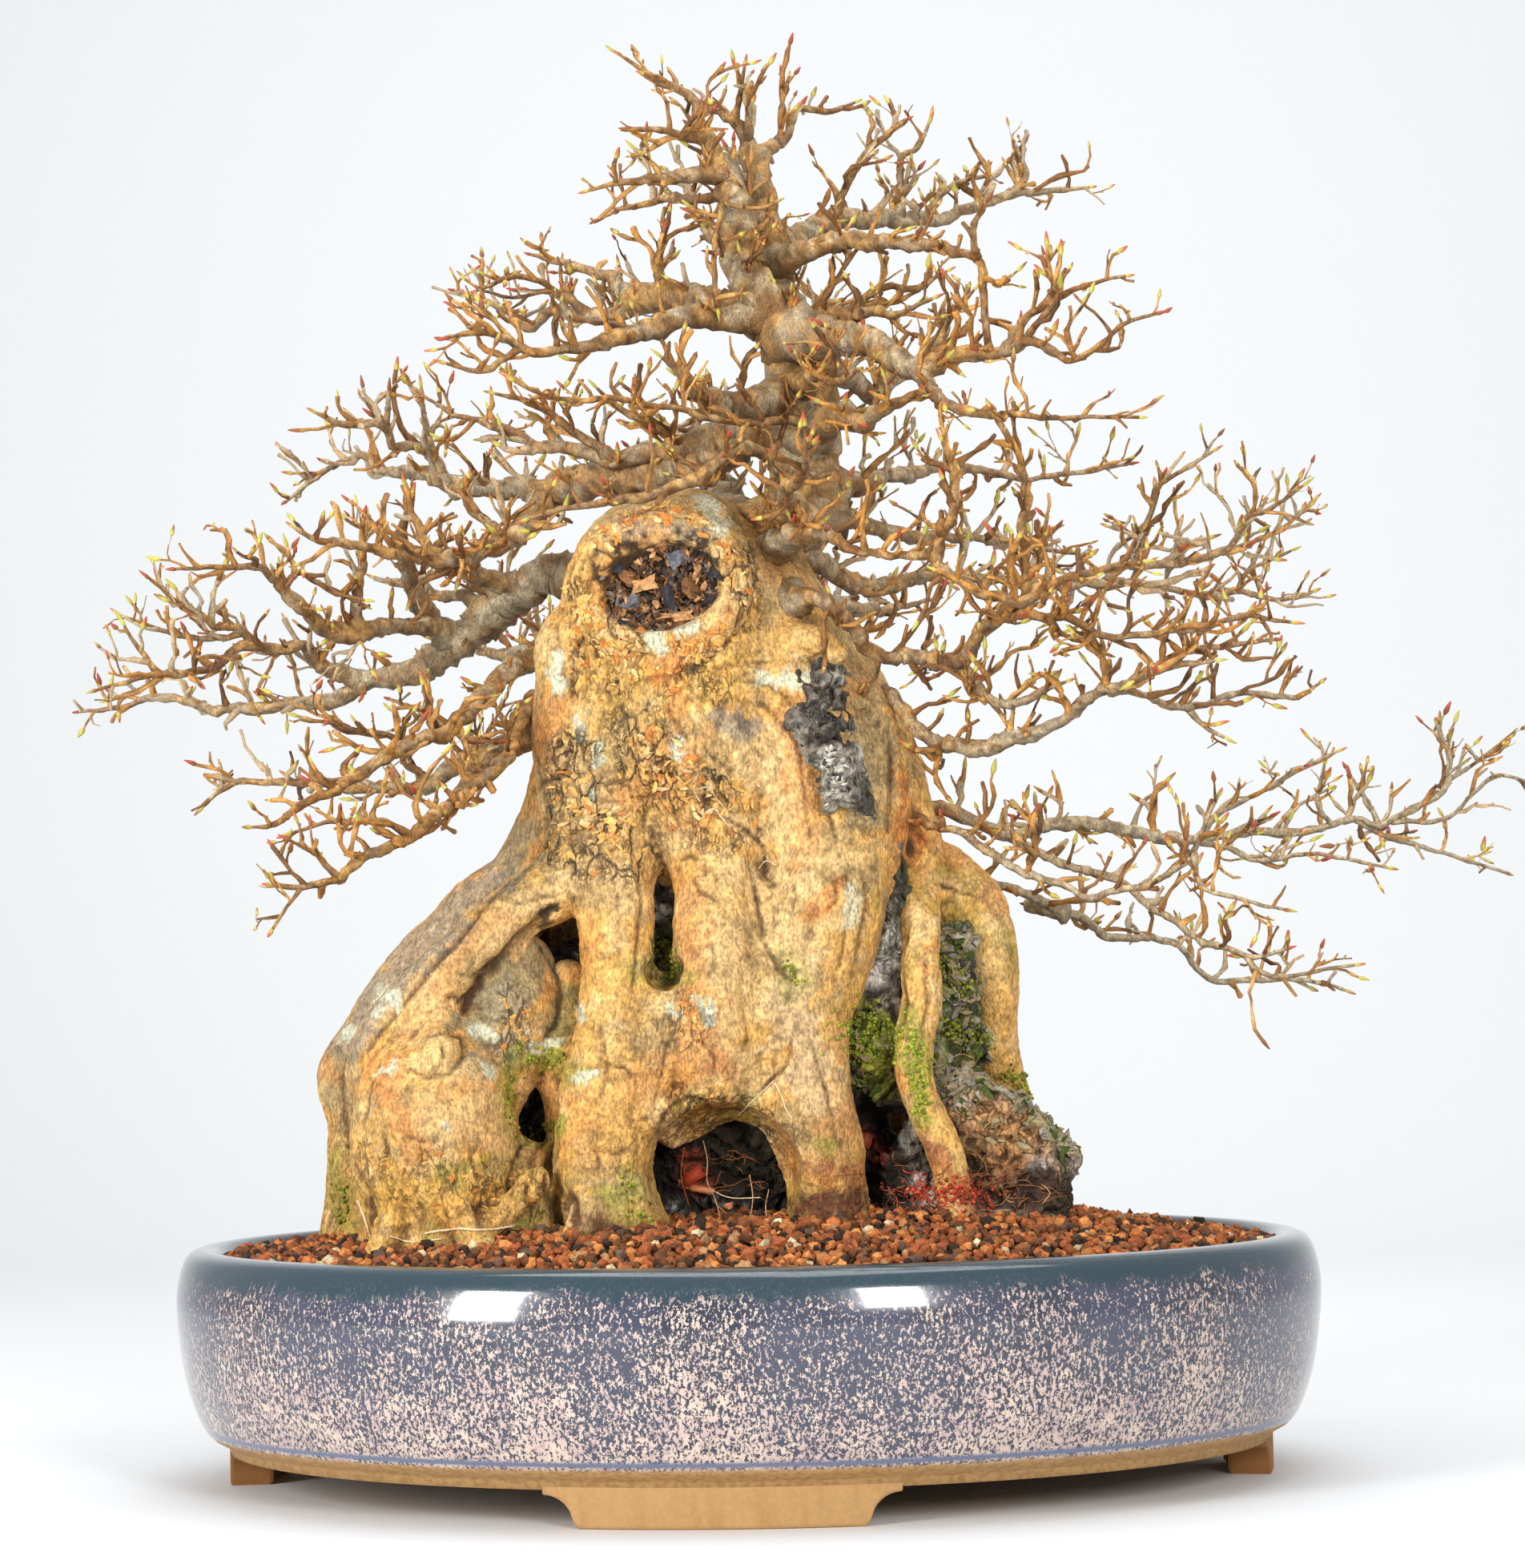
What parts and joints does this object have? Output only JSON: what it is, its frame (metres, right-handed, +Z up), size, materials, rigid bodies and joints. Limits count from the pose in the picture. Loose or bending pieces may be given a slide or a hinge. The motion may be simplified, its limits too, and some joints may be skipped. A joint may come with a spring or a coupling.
{
  "type": "bonsai tree",
  "caption": "Leafless trident maple bonsai whose thick roots clasp an upright rock, in grit in an oval glazed pot on low clay feet.",
  "frame": {"origin": "middle of the whole object's box, at the underside of the pot's feet", "axes": "+Z up, -Y towards the viewer of the tree's front, +X to the right as seen from the front"},
  "size_m": [0.6204, 0.375, 0.5883],
  "materials": {
    "maple_bark": "matte",
    "rock": "matte",
    "grit": "matte",
    "glaze": "gloss",
    "screen_plastic": "matte",
    "clip_aluminium": "satin"
  },
  "bodies": {
    "root": {"tree": "maple_bark", "rock": "rock", "soil": "grit", "pot": "glaze", "drain_screen_left": "screen_plastic", "drain_screen_right": "screen_plastic", "screen_clip_left": "clip_aluminium", "screen_clip_right": "clip_aluminium"}
  },
  "joints": []
}
